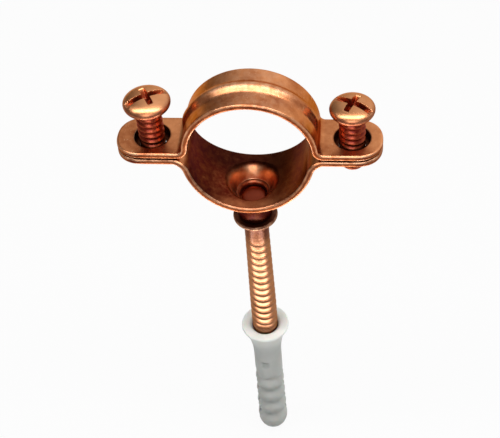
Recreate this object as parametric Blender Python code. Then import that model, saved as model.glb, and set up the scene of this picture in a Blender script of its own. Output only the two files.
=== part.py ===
"""A copper plated pipe clamp with its wood screw, wall plug and two ear screws.

The frame is the clamp's own: +Z points out of the wall along the wood screw, the pipe lies along Y and the
two ears stand out along X. The origin is the centre of the wall plug's mouth. The driving dimensions below
are in millimetres, and every mesh is made in metres.
"""

import math

import bmesh
import bpy
from mathutils import Matrix, Vector

MM = 0.001

# Pipe and ring
PIPE_DIAMETER = 22.0
PIPE_CLEARANCE = 0.1
RING_RISE = 1.0
STANDOFF = 53.3

# Strap
STRAP_THICKNESS = 1.2
STRAP_WIDTH = 10.0
SADDLE_WIDTH = 14.7
EDGE_ROUND = 0.3
UPPER_BEND = 1.0
LOWER_BEND = 2.0
SEAT_GAP = 0.3

# Ears, measured from the foot of the upper bend to the tip
EAR_LENGTH = 10.85
EAR_END_LENGTH = 5.0
EAR_TIP_WIDTH = 1.2
EAR_HOLE_SHARE = 0.447
CLEARANCE_HOLE_RADIUS = 3.28
CAP_SHIFT = 0.5

# Raised bead of the upper strap
BEAD_WIDTH = 3.8
BEAD_HEIGHT = 0.8
BEAD_FULL_ANGLE = 64.0
BEAD_END_ANGLE = 85.0

# Drawn boss of the lower strap
BOSS_DEPTH = 7.1
BOSS_MOUTH_RADIUS = 5.3
BOSS_NECK_RADIUS = 3.25
BOSS_SHOULDER_RADIUS = 6.8
LEDGE_DEPTH = 2.6
LEDGE_WIDTH = 0.6
SEAT_DEPTH = 4.4
SEAT_RADIUS = 2.6

# Wood screw
SPIGOT_RADIUS = 1.9
RIVET_HEIGHT = 0.6
FLANGE_RADIUS = 4.3
FLANGE_THICKNESS = 0.9
NECK_RADIUS = 2.4
NECK_LENGTH = 4.0
WOOD_THREAD_RADIUS = 2.7
WOOD_CORE_RADIUS = 2.2
WOOD_PITCH = 1.9
WOOD_RUN_IN = 22.0
WOOD_SCREW_LENGTH = 51.0
POINT_RADIUS = 0.35

# Wall plug
PLUG_LENGTH = 38.0
PLUG_RADIUS = 3.0
PLUG_RIM_RADIUS = 5.0
PLUG_RIM_THICKNESS = 0.7
PLUG_FLARE_LENGTH = 9.5
PLUG_MOUTH_RADIUS = 3.7
PLUG_MOUTH_DEPTH = 0.9
BARB_COUNT = 4
BARB_PITCH = 4.65
BARB_HEIGHT = 0.3
BARB_STAGGER = 0.8
FIRST_BARB_DEPTH = 18.8
PLUG_SLOT_WIDTH = 0.25
PLUG_SLOT_START = 13.0
PLUG_SLOT_END = 35.0
PLUG_SLOT_ANGLE = 106.0

# Ear screws
EAR_SCREW_LENGTH = 12.8
EAR_THREAD_RADIUS = 2.45
EAR_CORE_RADIUS = 2.05
EAR_PITCH = 1.25
HEAD_DOME = 0.56
DRIVE_WIDTH = 1.1
SLOT_DEPTH = 1.1
CROSS_DEPTH = 1.9
CROSS_REACH = 2.4
LEFT_HEAD_RADIUS = 4.3
LEFT_HEAD_RISE = 8.7
LEFT_SLOT_ANGLE = 30.0
RIGHT_HEAD_RADIUS = 4.05
RIGHT_HEAD_RISE = 7.6
RIGHT_SLOT_ANGLE = -28.0

# Running and seating clearance between neighbouring pieces
CLEARANCE = 0.3

# Facets
ARC_STEP = 5.0
BEND_STEPS = 5
CORNER_STEPS = 6
ROUND_FACETS = 32
THREAD_FACETS = 16

RING_RADIUS = PIPE_DIAMETER / 2 + PIPE_CLEARANCE
RING_CENTRE = STANDOFF + RING_RISE
FLOOR = RING_CENTRE - RING_RADIUS
EAR_START = RING_RADIUS + STRAP_THICKNESS + UPPER_BEND
EAR_REACH = EAR_START + EAR_LENGTH
EAR_SCREW_OFFSET = EAR_START + EAR_HOLE_SHARE * EAR_LENGTH
BOSS_FOOT = FLOOR - STRAP_THICKNESS - BOSS_DEPTH
FLANGE_TOP = BOSS_FOOT - CLEARANCE
FLANGE_FOOT = FLANGE_TOP - FLANGE_THICKNESS
TAPPED_HOLE_RADIUS = EAR_THREAD_RADIUS + CLEARANCE


def clear_scene():
    for old in list(bpy.data.objects):
        bpy.data.objects.remove(old, do_unlink=True)


def material(name, colour, roughness, metallic):
    """A Principled material of one plain finish."""
    made = bpy.data.materials.new(name)
    made.use_nodes = True
    shader = made.node_tree.nodes["Principled BSDF"]
    shader.inputs["Base Color"].default_value = (*colour, 1.0)
    shader.inputs["Roughness"].default_value = roughness
    shader.inputs["Metallic"].default_value = metallic
    return made


def add_object(name, bm, finish, parent=None, smooth_angle=35.0):
    """Turns a bmesh drawn in millimetres into a named object in metres."""
    bmesh.ops.recalc_face_normals(bm, faces=bm.faces)
    bmesh.ops.scale(bm, vec=Vector((MM, MM, MM)), verts=bm.verts)
    mesh = bpy.data.meshes.new(name)
    bm.to_mesh(mesh)
    bm.free()
    mesh.shade_smooth()
    mesh.set_sharp_from_angle(angle=math.radians(smooth_angle))
    if finish is not None:
        mesh.materials.append(finish)
    made = bpy.data.objects.new(name, mesh)
    bpy.context.scene.collection.objects.link(made)
    made.parent = parent
    return made


def add_cutter(name, bm, parent=None):
    cutter = add_object(name, bm, None, parent)
    cutter.hide_render = True
    cutter.display_type = "WIRE"
    return cutter


def combine(target, tool, operation):
    """Adds an exact Boolean of the tool to the target."""
    step = target.modifiers.new(operation.title() + " " + tool.name, "BOOLEAN")
    step.operation = operation
    step.solver = "EXACT"
    step.object = tool


def joint_axis(name, x, z):
    """An empty on a joint's axis, which the moving piece is parented to."""
    empty = bpy.data.objects.new(name, None)
    empty.empty_display_size = 4 * MM
    empty.location = (x * MM, 0.0, z * MM)
    bpy.context.scene.collection.objects.link(empty)
    return empty


def ring_of(bm, radius, height, facets, turn=0.0):
    """One level circle of vertices round the Z axis."""
    angles = [turn + 2 * math.pi * i / facets for i in range(facets)]
    return [bm.verts.new((radius * math.cos(a), radius * math.sin(a), height)) for a in angles]


def join_rings(bm, first, second):
    count = len(first)
    for i in range(count):
        following = (i + 1) % count
        bm.faces.new((first[i], first[following], second[following], second[i]))


def close_with_pole(bm, ring, height):
    """Closes a ring with triangles that meet on the Z axis."""
    pole = bm.verts.new((0.0, 0.0, height))
    count = len(ring)
    for i in range(count):
        bm.faces.new((ring[i], ring[(i + 1) % count], pole))


def skin(bm, rings):
    for upper, lower in zip(rings, rings[1:]):
        join_rings(bm, upper, lower)


def turned(profile, facets):
    """A solid of revolution whose profile of (radius, height) pairs starts and ends on the axis."""
    bm = bmesh.new()
    rings = [ring_of(bm, radius, height, facets) for radius, height in profile[1:-1]]
    skin(bm, rings)
    close_with_pole(bm, rings[0], profile[0][1])
    close_with_pole(bm, rings[-1], profile[-1][1])
    return bm


def box(size, centre, turn=0.0):
    """A box in millimetres, turned in degrees about the Z axis after it is placed."""
    bm = bmesh.new()
    bmesh.ops.create_cube(bm, size=1.0)
    bmesh.ops.scale(bm, vec=Vector(size), verts=bm.verts)
    bmesh.ops.translate(bm, vec=Vector(centre), verts=bm.verts)
    spin = Matrix.Rotation(math.radians(turn), 4, "Z")
    bmesh.ops.transform(bm, matrix=spin, verts=bm.verts)
    return bm


def ear_outline_stations():
    """(distance from the middle, half-width) along an ear's rounded end, from its tip inwards."""
    tip = EAR_TIP_WIDTH / 2
    gain = STRAP_WIDTH / 2 - tip
    stations = []
    for i in range(CORNER_STEPS + 1):
        a = math.pi / 2 * (1 - i / CORNER_STEPS)
        stations.append((EAR_REACH - EAR_END_LENGTH * (1 - math.sin(a)), tip + gain * math.cos(a)))
    return stations


def strap_stations(ring_height, bend, shift):
    """Stations along the middle of a strap half, from the left ear's tip to the right one's.

    Heights grow away from the split plane. Each station is (x, height, normal x, normal height, half-width,
    ring angle or None): the ear is level, a bend turns into the ring, and the right half mirrors the left.
    shift moves the ring and its bends along X, while the ears' tips stay.
    """
    half = STRAP_THICKNESS / 2
    ear_height = SEAT_GAP / 2 + half
    bend_height = SEAT_GAP / 2 + STRAP_THICKNESS + bend
    reach = RING_RADIUS + STRAP_THICKNESS + bend
    bend_x = math.sqrt(reach**2 - (bend_height - ring_height) ** 2)
    tangent = math.atan2(bend_height - ring_height, bend_x)
    width = STRAP_WIDTH / 2
    left = [(-x, ear_height, 0.0, 1.0, w, None) for x, w in ear_outline_stations()]
    for i in range(BEND_STEPS + 1):
        a = -math.pi / 2 + (math.pi / 2 - tangent) * i / BEND_STEPS
        x = -bend_x + (bend + half) * math.cos(a)
        height = bend_height + (bend + half) * math.sin(a)
        left.append((x, height, -math.cos(a), -math.sin(a), width, None))
    span = math.pi / 2 - tangent
    steps = round(math.degrees(span) / ARC_STEP)
    for i in range(1, steps + 1):
        from_top = span * (1 - i / steps)
        x = -(RING_RADIUS + half) * math.sin(from_top)
        height = ring_height + (RING_RADIUS + half) * math.cos(from_top)
        left.append((x, height, -math.sin(from_top), math.cos(from_top), width, math.degrees(from_top)))
    right = [(-x, h, -nx, nh, w, angle) for x, h, nx, nh, w, angle in reversed(left[:-1])]
    ring_stations = range(CORNER_STEPS + 1, 2 * len(left) - CORNER_STEPS - 2)
    return [(s[0] + shift * (i in ring_stations), *s[1:]) for i, s in enumerate(left + right)]


def swell(stations):
    """Widens a strap along a sine from its bends to its middle, from STRAP_WIDTH to SADDLE_WIDTH."""
    bends = [i for i, s in enumerate(stations) if s[4] == STRAP_WIDTH / 2]
    start = bends[1]
    lengths = [0.0]
    for before, after in zip(stations[start:], stations[start + 1 :]):
        lengths.append(lengths[-1] + math.hypot(after[0] - before[0], after[1] - before[1]))
    middle = len(stations) // 2 - start
    gain = (SADDLE_WIDTH - STRAP_WIDTH) / 2
    widened = list(stations)
    for i in range(start, len(stations) - start):
        x, height, nx, nh, width, angle = stations[i]
        share = min(lengths[i - start], 2 * lengths[middle] - lengths[i - start]) / lengths[middle]
        widened[i] = (x, height, nx, nh, width + gain * math.sin(math.pi / 2 * share), angle)
    return widened


def eased(value):
    """0 below 0, 1 above 1 and a smooth step between them."""
    share = max(0.0, min(1.0, value))
    return share * share * (3 - 2 * share)


def bead_offset(y, angle):
    """Height of the raised bead: a cosine hump across the strap that fades towards the ears."""
    if angle is None or abs(y) >= BEAD_WIDTH / 2:
        return 0.0
    fade = eased((BEAD_END_ANGLE - angle) / (BEAD_END_ANGLE - BEAD_FULL_ANGLE))
    return BEAD_HEIGHT * fade * (0.5 + 0.5 * math.cos(2 * math.pi * y / BEAD_WIDTH))


def section_points(width, across):
    """Closed cross-section of a strap as (y, offset from its middle surface) with rounded edges."""
    soft = 0.3 * EDGE_ROUND
    half = STRAP_THICKNESS / 2
    top = [(-width, half - EDGE_ROUND), (-width + soft, half - soft), (-width + EDGE_ROUND, half)]
    top += [(y, half) for y in across]
    top += [(-y, h) for y, h in reversed(top[:3])]
    return top + [(-y, -h) for y, h in top]


def strap_solid(stations, across, split_side, beaded):
    """Lofts a strap half. split_side is +1 above the split plane and -1 below it."""
    bm = bmesh.new()
    loops = []
    for x, height, nx, nh, width, angle in stations:
        loop = []
        squeeze = min(1.0, (width - 1.5 * EDGE_ROUND) / max(across[-1], EDGE_ROUND))
        for y, off in section_points(width, [y * squeeze for y in across]):
            lift = off + (bead_offset(y, angle) if beaded else 0.0)
            z = STANDOFF + split_side * (height + nh * lift)
            loop.append(bm.verts.new((x + nx * lift, y, z)))
        loops.append(loop)
    skin(bm, loops)
    bm.faces.new(loops[0])
    bm.faces.new(loops[-1])
    return bm


def drill_ears(strap, radius, name):
    for side, place in ((-1, "left"), (1, "right")):
        bm = bmesh.new()
        depth = 4 * STRAP_THICKNESS
        bmesh.ops.create_cone(
            bm, cap_ends=True, segments=ROUND_FACETS, radius1=radius, radius2=radius, depth=depth
        )
        place_x = CAP_SHIFT + side * EAR_SCREW_OFFSET
        bmesh.ops.translate(bm, vec=Vector((place_x, 0.0, STANDOFF)), verts=bm.verts)
        combine(strap, add_cutter(f"{name}_{place}_drill", bm), "DIFFERENCE")


def make_upper_strap(finish):
    """The loose upper half: arch, raised bead, and ears with clearance holes."""
    bead_ys = [BEAD_WIDTH / 2 * (i / 4 - 1) for i in range(9)]
    bm = strap_solid(strap_stations(RING_RISE, UPPER_BEND, CAP_SHIFT), bead_ys, 1, True)
    strap = add_object("upper_strap", bm, finish)
    drill_ears(strap, CLEARANCE_HOLE_RADIUS, "clearance")
    return strap


def wall_height(x, radius):
    """Height of the ring's lower wall of the given radius above or below the lowest point of the floor."""
    return RING_CENTRE - math.sqrt(radius**2 - x**2)


def draped_rings(bm, profile, wall_radius, base):
    """Rings round the Z axis that follow the curved wall where follow is 1 and are level where it is 0.

    profile holds (ring radius, depth under the wall, follow), and base is the wall's lowest height.
    """
    rings = []
    for radius, depth, follow in profile:
        ring = ring_of(bm, radius, 0.0, ROUND_FACETS)
        for vert in ring:
            rise = wall_height(vert.co.x, wall_radius) - base
            vert.co.z = base + follow * rise - depth
        rings.append(ring)
    return rings


def boss_body():
    """Outer form of the drawn boss: a trumpet that leaves the strap's underside and ends in a short neck."""
    outer = RING_RADIUS + STRAP_THICKNESS
    slope = BOSS_SHOULDER_RADIUS - BOSS_NECK_RADIUS
    profile = [(BOSS_SHOULDER_RADIUS, -0.5 * STRAP_THICKNESS, 1.0)]
    for depth in (0.02, 0.085, 0.18, 0.31, 0.48, 0.70):
        share = (1 - math.sqrt(depth)) ** 1.4
        profile.append((BOSS_NECK_RADIUS + share * slope, depth * BOSS_DEPTH, eased(2 * share - 0.4)))
    profile.append((BOSS_NECK_RADIUS, BOSS_DEPTH, 0.0))
    bm = bmesh.new()
    base = RING_CENTRE - outer
    rings = draped_rings(bm, profile, outer, base)
    inner_top = draped_rings(bm, [(0.5 * BOSS_SHOULDER_RADIUS, -0.5 * STRAP_THICKNESS, 1.0)], outer, base)
    skin(bm, inner_top + rings)
    close_with_pole(bm, inner_top[0], base + 0.5 * STRAP_THICKNESS)
    close_with_pole(bm, rings[-1], base - BOSS_DEPTH)
    return bm


def boss_funnel():
    """Hollow of the boss: a soft-lipped funnel, a small step, a seat for the rivet head and a bore."""
    bore = SPIGOT_RADIUS + CLEARANCE
    fall = BOSS_MOUTH_RADIUS - SEAT_RADIUS - LEDGE_WIDTH
    profile = [(BOSS_MOUTH_RADIUS + 0.4, -0.25, 1.0)]
    profile.append((BOSS_MOUTH_RADIUS, 0.01 * LEDGE_DEPTH, 1.0))
    for depth in (0.05, 0.16, 0.34, 0.61, 1.0):
        share = (1 - math.sqrt(depth)) ** 0.9
        profile.append((SEAT_RADIUS + LEDGE_WIDTH + share * fall, depth * LEDGE_DEPTH, eased(2 * share)))
    profile.append((SEAT_RADIUS, LEDGE_DEPTH + 0.1, 0.0))
    profile.append((SEAT_RADIUS, SEAT_DEPTH, 0.0))
    profile.append((bore, SEAT_DEPTH, 0.0))
    profile.append((bore, BOSS_DEPTH + 2 * STRAP_THICKNESS, 0.0))
    bm = bmesh.new()
    rings = draped_rings(bm, profile, RING_RADIUS, FLOOR)
    roof = ring_of(bm, BOSS_MOUTH_RADIUS + 0.4, FLOOR + 3 * STRAP_THICKNESS, ROUND_FACETS)
    skin(bm, [roof] + rings)
    close_with_pole(bm, roof, FLOOR + 3 * STRAP_THICKNESS)
    close_with_pole(bm, rings[-1], rings[-1][0].co.z)
    return bm


def make_lower_strap(finish):
    """The saddle: a strap that widens round its drawn boss, with tapped ears."""
    stations = swell(strap_stations(-RING_RISE, LOWER_BEND, 0.0))
    strap = add_object("lower_strap", strap_solid(stations, [0.0], -1, False), finish)
    combine(strap, add_cutter("boss_body", boss_body()), "UNION")
    combine(strap, add_cutter("boss_funnel", boss_funnel()), "DIFFERENCE")
    drill_ears(strap, TAPPED_HOLE_RADIUS, "tapped")
    return strap


THREAD_FORM = ((0.0, 0.0), (0.34, 0.0), (0.58, 1.0), (0.74, 1.0))


def thread_rows(bm, top, pitch, turns, core_at, crest_at):
    """Right-handed helical rows of vertices. rows[k][q] is point q of the thread form at step k."""
    rows = []
    for k in range(turns * THREAD_FACETS + 1):
        angle = -2 * math.pi * k / THREAD_FACETS
        row = []
        for along, share in THREAD_FORM:
            z = top - pitch * (k / THREAD_FACETS + along)
            radius = core_at(z) + share * (crest_at(z) - core_at(z))
            row.append(bm.verts.new((radius * math.cos(angle), radius * math.sin(angle), z)))
        rows.append(row)
    return rows


def skin_thread(bm, rows):
    last = len(THREAD_FORM) - 1
    for k in range(len(rows) - 1):
        for q in range(last):
            bm.faces.new((rows[k][q], rows[k + 1][q], rows[k + 1][q + 1], rows[k][q + 1]))
        if k + 1 + THREAD_FACETS < len(rows):
            below, beyond = rows[k + THREAD_FACETS][0], rows[k + 1 + THREAD_FACETS][0]
            bm.faces.new((rows[k][last], rows[k + 1][last], beyond, below))


def join_to_double(bm, coarse, fine):
    """Joins a ring to one with twice as many points that starts at the same angle."""
    count = len(coarse)
    for i in range(count):
        following = (i + 1) % count
        middle = fine[2 * i + 1]
        bm.faces.new((coarse[i], coarse[following], middle))
        bm.faces.new((coarse[i], middle, fine[2 * i]))
        bm.faces.new((coarse[following], fine[(2 * i + 2) % len(fine)], middle))


def thread_on_shank(bm, shank_ring, rows):
    """Joins a ring above the thread to its first turn. The ring's points run the same way as the helix."""
    last = THREAD_FACETS - 1
    for i in range(last):
        bm.faces.new((shank_ring[i], rows[i][0], rows[i + 1][0], shank_ring[i + 1]))
    step = [vert for vert in reversed(rows[0][1:])]
    bm.faces.new([shank_ring[last], rows[last][0], rows[last + 1][0], *step, rows[0][0], shank_ring[0]])


def thread_to_end(bm, rows, end_ring):
    """Joins the thread's last turn to a ring below it."""
    last = len(THREAD_FORM) - 1
    start = len(rows) - 1 - THREAD_FACETS
    step = list(reversed(rows[-1]))
    first = [rows[start + 1][last], end_ring[1], end_ring[0], *step, rows[start][last]]
    bm.faces.new(first)
    for i in range(1, THREAD_FACETS):
        following = end_ring[(i + 1) % THREAD_FACETS]
        bm.faces.new((rows[start + i][last], rows[start + i + 1][last], following, end_ring[i]))


def clockwise_ring(bm, radius, height, facets=THREAD_FACETS):
    """A ring that runs the same way as the helix, clockwise seen from above."""
    angles = [-2 * math.pi * i / facets for i in range(facets)]
    return [bm.verts.new((radius * math.cos(a), radius * math.sin(a), height)) for a in angles]


def threaded_solid(profile, thread, end_profile):
    """A turned shank, a helical thread under it and a turned end, all one closed skin.

    profile and end_profile hold (radius, height) pairs; the first pair and the last one lie on the axis. The
    shank has twice the thread's facets down to its last pair. thread is (top, pitch, turns, core_at, crest_at).
    """
    bm = bmesh.new()
    shank = [clockwise_ring(bm, radius, height, 2 * THREAD_FACETS) for radius, height in profile[1:-1]]
    skin(bm, shank)
    close_with_pole(bm, shank[0], profile[0][1])
    shank_end = clockwise_ring(bm, *profile[-1])
    join_to_double(bm, shank_end, shank[-1])
    rows = thread_rows(bm, *thread)
    skin_thread(bm, rows)
    thread_on_shank(bm, shank_end, rows)
    end = [clockwise_ring(bm, radius, height) for radius, height in end_profile[:-1]]
    thread_to_end(bm, rows, end[0])
    skin(bm, end)
    close_with_pole(bm, end[-1], end_profile[-1][1])
    bmesh.ops.triangulate(bm, faces=[face for face in bm.faces if len(face.verts) > 4])
    return bm


def run_in(z, start, length, shank_radius, thread_radius):
    """Radius that runs from the shank's to the thread's over the given length below start."""
    share = max(0.0, min(1.0, (start - z) / length))
    return shank_radius + share * (thread_radius - shank_radius)


def make_mounting_screw(finish, parent):
    """The wood screw: riveted spigot, flange, plain neck and a coarse thread that tapers to a point."""
    rivet_foot = FLOOR - SEAT_DEPTH + CLEARANCE
    rivet_radius = SEAT_RADIUS - CLEARANCE
    tip = FLANGE_FOOT - WOOD_SCREW_LENGTH
    thread_top = FLANGE_FOOT - NECK_LENGTH - 0.25 * WOOD_PITCH
    taper_start = CLEARANCE
    turns = int((thread_top - tip) / WOOD_PITCH) - 1

    def taper(z):
        if z >= taper_start:
            return 1.0
        return 1.0 - (taper_start - z) / (taper_start - tip)

    def core_at(z):
        full = run_in(z, thread_top, WOOD_PITCH, NECK_RADIUS, WOOD_CORE_RADIUS)
        return POINT_RADIUS + (full - POINT_RADIUS) * taper(z)

    def crest_at(z):
        full = run_in(z, thread_top, WOOD_RUN_IN, NECK_RADIUS, WOOD_THREAD_RADIUS)
        return POINT_RADIUS + (full - POINT_RADIUS) * taper(z)

    soft = 0.25 * FLANGE_THICKNESS
    shank = [
        (0.0, rivet_foot + RIVET_HEIGHT),
        (0.6 * rivet_radius, rivet_foot + 0.9 * RIVET_HEIGHT),
        (rivet_radius, rivet_foot + 0.45 * RIVET_HEIGHT),
        (rivet_radius, rivet_foot),
        (SPIGOT_RADIUS, rivet_foot),
        (SPIGOT_RADIUS, FLANGE_TOP),
        (FLANGE_RADIUS - soft, FLANGE_TOP),
        (FLANGE_RADIUS, FLANGE_TOP - soft),
        (FLANGE_RADIUS, FLANGE_FOOT + soft),
        (FLANGE_RADIUS - soft, FLANGE_FOOT),
        (NECK_RADIUS, FLANGE_FOOT),
        (NECK_RADIUS, FLANGE_FOOT - 0.6 * NECK_LENGTH),
        (NECK_RADIUS, FLANGE_FOOT - NECK_LENGTH),
    ]
    end_top = thread_top - (turns + 1) * WOOD_PITCH - 0.1
    end = [(core_at(end_top), end_top), (0.0, tip)]
    thread = (thread_top, WOOD_PITCH, turns, core_at, crest_at)
    return add_object("mounting_screw", threaded_solid(shank, thread, end), finish, parent)


def plug_profile():
    """(radius, depth, in the barbs) from the bore's blind end, over the rim and down to the outer tip."""
    screw_tip = -(FLANGE_FOOT - WOOD_SCREW_LENGTH)
    bore_end = screw_tip + 3 * CLEARANCE
    throat = WOOD_THREAD_RADIUS + 1.2 * CLEARANCE
    profile = [(0.0, bore_end, 0.0), (POINT_RADIUS + 2 * CLEARANCE, bore_end, 0.0)]
    for share in (1.0, 0.45, 0.12):
        radius = throat + (PLUG_MOUTH_RADIUS - throat) * (1 - share) ** 1.5
        profile.append((radius, share * PLUG_MOUTH_DEPTH, 0.0))
    soft = 0.25 * PLUG_RIM_THICKNESS
    profile.append((PLUG_MOUTH_RADIUS, 0.0, 0.0))
    profile += [(PLUG_RIM_RADIUS - soft, 0.0, 0.0), (PLUG_RIM_RADIUS, soft, 0.0)]
    profile.append((PLUG_RIM_RADIUS, PLUG_RIM_THICKNESS, 0.0))
    under = PLUG_RIM_RADIUS - PLUG_RADIUS
    for share in (0.1, 0.25, 0.45, 0.7, 1.0):
        depth = PLUG_RIM_THICKNESS + share * (PLUG_FLARE_LENGTH - PLUG_RIM_THICKNESS)
        profile.append((PLUG_RADIUS + 0.8 * under * (1 - share) ** 1.9, depth, 0.0))
    waist = PLUG_RADIUS - 0.5 * BARB_HEIGHT
    profile.append((PLUG_RADIUS, FIRST_BARB_DEPTH - 0.9 * BARB_PITCH, 0.0))
    profile.append((waist, FIRST_BARB_DEPTH - 0.5 * BARB_PITCH, 1.0))
    for i in range(BARB_COUNT):
        crest = FIRST_BARB_DEPTH + i * BARB_PITCH
        grown = PLUG_RADIUS + BARB_HEIGHT * (0.4 + 0.2 * i)
        profile.append((grown, crest - 0.1 * BARB_PITCH, 1.0))
        profile.append((grown, crest + 0.1 * BARB_PITCH, 1.0))
        if i < BARB_COUNT - 1:
            profile.append((waist + 0.15 * BARB_HEIGHT * i, crest + 0.5 * BARB_PITCH, 1.0))
    dome_start = FIRST_BARB_DEPTH + (BARB_COUNT - 1) * BARB_PITCH + 0.1 * BARB_PITCH
    dome_top = dome_start + 1.2 * BARB_STAGGER
    dome_radius = PLUG_RADIUS + BARB_HEIGHT * (0.2 + 0.2 * BARB_COUNT)
    for degrees in (25, 45, 62, 78):
        a = math.radians(degrees)
        depth = dome_top + (PLUG_LENGTH - dome_top) * math.sin(a)
        profile.append((dome_radius * math.cos(a), depth, 0.0))
    profile.append((0.0, PLUG_LENGTH, 0.0))
    return profile


def make_wall_plug(finish):
    """The hollow nylon plug: flared rim, tapering bore, staggered barbs and a slot that lets it spread."""
    bm = bmesh.new()
    profile = plug_profile()
    turn = math.radians(PLUG_SLOT_ANGLE - 90.0) + math.pi / ROUND_FACETS
    rings = []
    for radius, depth, in_barbs in profile[1:-1]:
        ring = ring_of(bm, radius, -depth, ROUND_FACETS, turn)
        for i, vert in enumerate(ring):
            if i >= ROUND_FACETS // 2:
                vert.co.z -= in_barbs * BARB_STAGGER
        rings.append(ring)
    skin(bm, rings)
    close_with_pole(bm, rings[0], -profile[0][1])
    close_with_pole(bm, rings[-1], -profile[-1][1])
    plug = add_object("wall_plug", bm, finish)
    length = PLUG_SLOT_END - PLUG_SLOT_START
    slot = box(
        (PLUG_SLOT_WIDTH, 4 * PLUG_RADIUS, length), (0.0, 0.0, -PLUG_SLOT_START - length / 2), PLUG_SLOT_ANGLE
    )
    combine(plug, add_cutter("plug_slot", slot), "DIFFERENCE")
    return plug


def cross_arm(over):
    """One tapered arm of the cross recess, as a cutter along X whose top is at the given height."""
    bm = box((2 * CROSS_REACH, DRIVE_WIDTH, CROSS_DEPTH), (0.0, 0.0, -CROSS_DEPTH / 2))
    for vert in bm.verts:
        if vert.co.z < -CROSS_DEPTH / 2:
            vert.co.x *= 0.35
            vert.co.y *= 0.6
    bmesh.ops.translate(bm, vec=Vector((0.0, 0.0, over)), verts=bm.verts)
    return bm


def make_ear_screw(name, x, head_radius, head_rise, slot_angle, finish):
    """A pan head screw with a slot and a cross recess, its origin on its own axis under the head."""
    axis = joint_axis(name + "_axis", x, STANDOFF + head_rise)
    head_height = HEAD_DOME * head_radius
    shares = ((0.30, 0.98), (0.58, 0.91), (0.80, 0.77), (0.94, 0.56), (1.0, 0.30), (0.97, 0.08), (0.92, 0.0))
    head = [(0.0, head_height)]
    head += [(share * head_radius, rise * head_height) for share, rise in shares]
    head.append((EAR_CORE_RADIUS + 0.1, -0.2))
    thread_top = -0.3
    tip = -EAR_SCREW_LENGTH
    chamfer = 0.4 * EAR_PITCH
    turns = int((EAR_SCREW_LENGTH + thread_top - chamfer) / EAR_PITCH) - 1

    def core_at(z):
        return EAR_CORE_RADIUS

    def crest_at(z):
        grown = run_in(z, thread_top, EAR_PITCH, EAR_CORE_RADIUS, EAR_THREAD_RADIUS)
        return EAR_CORE_RADIUS + (grown - EAR_CORE_RADIUS) * min(1.0, (z - tip) / (1.5 * EAR_PITCH))

    end = [(EAR_CORE_RADIUS, tip + chamfer), (0.7 * EAR_CORE_RADIUS, tip), (0.0, tip)]
    solid = threaded_solid(head, (thread_top, EAR_PITCH, turns, core_at, crest_at), end)
    screw = add_object(name, solid, finish, axis)
    over = 0.2
    slot_size = (3 * head_radius, DRIVE_WIDTH, SLOT_DEPTH + over)
    slot = box(slot_size, (0.0, 0.0, head_height + over - slot_size[2] / 2), slot_angle)
    combine(screw, add_cutter(name + "_slot", slot, axis), "DIFFERENCE")
    for turn, place in ((0.0, "first"), (90.0, "second")):
        arm = cross_arm(head_height + over / 2)
        spin = Matrix.Rotation(math.radians(slot_angle + turn), 4, "Z")
        bmesh.ops.transform(arm, matrix=spin, verts=arm.verts)
        combine(screw, add_cutter(f"{name}_{place}_arm", arm, axis), "DIFFERENCE")
    return screw


clear_scene()
copper_outer = material("copper_plate", (0.62, 0.27, 0.13), 0.28, 1.0)
copper_screw = material("copper_plated_screw", (0.66, 0.30, 0.15), 0.24, 1.0)
nylon = material("grey_nylon", (0.46, 0.47, 0.44), 0.5, 0.0)

make_upper_strap(copper_outer)
make_lower_strap(copper_outer)
make_mounting_screw(copper_screw, joint_axis("screw_turn_axis", 0.0, 0.0))
make_wall_plug(nylon)
left_screw = (LEFT_HEAD_RADIUS, LEFT_HEAD_RISE, LEFT_SLOT_ANGLE)
right_screw = (RIGHT_HEAD_RADIUS, RIGHT_HEAD_RISE, RIGHT_SLOT_ANGLE)
make_ear_screw("left_ear_screw", CAP_SHIFT - EAR_SCREW_OFFSET, *left_screw, copper_screw)
make_ear_screw("right_ear_screw", CAP_SHIFT + EAR_SCREW_OFFSET, *right_screw, copper_screw)
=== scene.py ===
# %% [markdown]
# # A copper plated pipe clamp on its wood screw
#
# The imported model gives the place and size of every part. This notebook dresses it: each part gets a smooth
# surface worked out by formulas on whole arrays of numbers, and a finish made of shader nodes. We start by
# loading the model as a fixed frame, and by noting its box, because the dressed parts must stay inside it.

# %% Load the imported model
import math

import bmesh
import bpy
import numpy as np
from mathutils import Matrix, Vector


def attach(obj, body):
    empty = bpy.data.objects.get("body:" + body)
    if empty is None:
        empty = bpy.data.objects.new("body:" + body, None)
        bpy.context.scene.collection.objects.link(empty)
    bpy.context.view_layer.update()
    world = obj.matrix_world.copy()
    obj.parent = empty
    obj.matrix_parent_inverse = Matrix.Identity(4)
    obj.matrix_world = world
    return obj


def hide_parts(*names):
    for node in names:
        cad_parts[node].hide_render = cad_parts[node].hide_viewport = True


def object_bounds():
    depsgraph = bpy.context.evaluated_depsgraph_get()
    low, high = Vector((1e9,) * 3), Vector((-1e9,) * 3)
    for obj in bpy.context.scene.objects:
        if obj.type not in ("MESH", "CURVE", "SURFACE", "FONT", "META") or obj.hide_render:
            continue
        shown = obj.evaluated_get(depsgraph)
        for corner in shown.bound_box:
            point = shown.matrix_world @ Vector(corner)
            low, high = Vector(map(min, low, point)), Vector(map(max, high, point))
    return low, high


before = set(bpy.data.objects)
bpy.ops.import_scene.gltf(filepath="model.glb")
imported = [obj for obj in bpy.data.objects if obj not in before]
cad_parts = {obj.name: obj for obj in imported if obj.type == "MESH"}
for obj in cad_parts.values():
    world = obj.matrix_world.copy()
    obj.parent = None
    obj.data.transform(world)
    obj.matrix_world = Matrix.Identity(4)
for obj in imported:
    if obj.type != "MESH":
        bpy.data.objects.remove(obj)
cad_box = [list(corner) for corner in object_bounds()]
MM = 0.001
print("model box in mm:", [[round(1000 * v, 1) for v in corner] for corner in cad_box])

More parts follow.
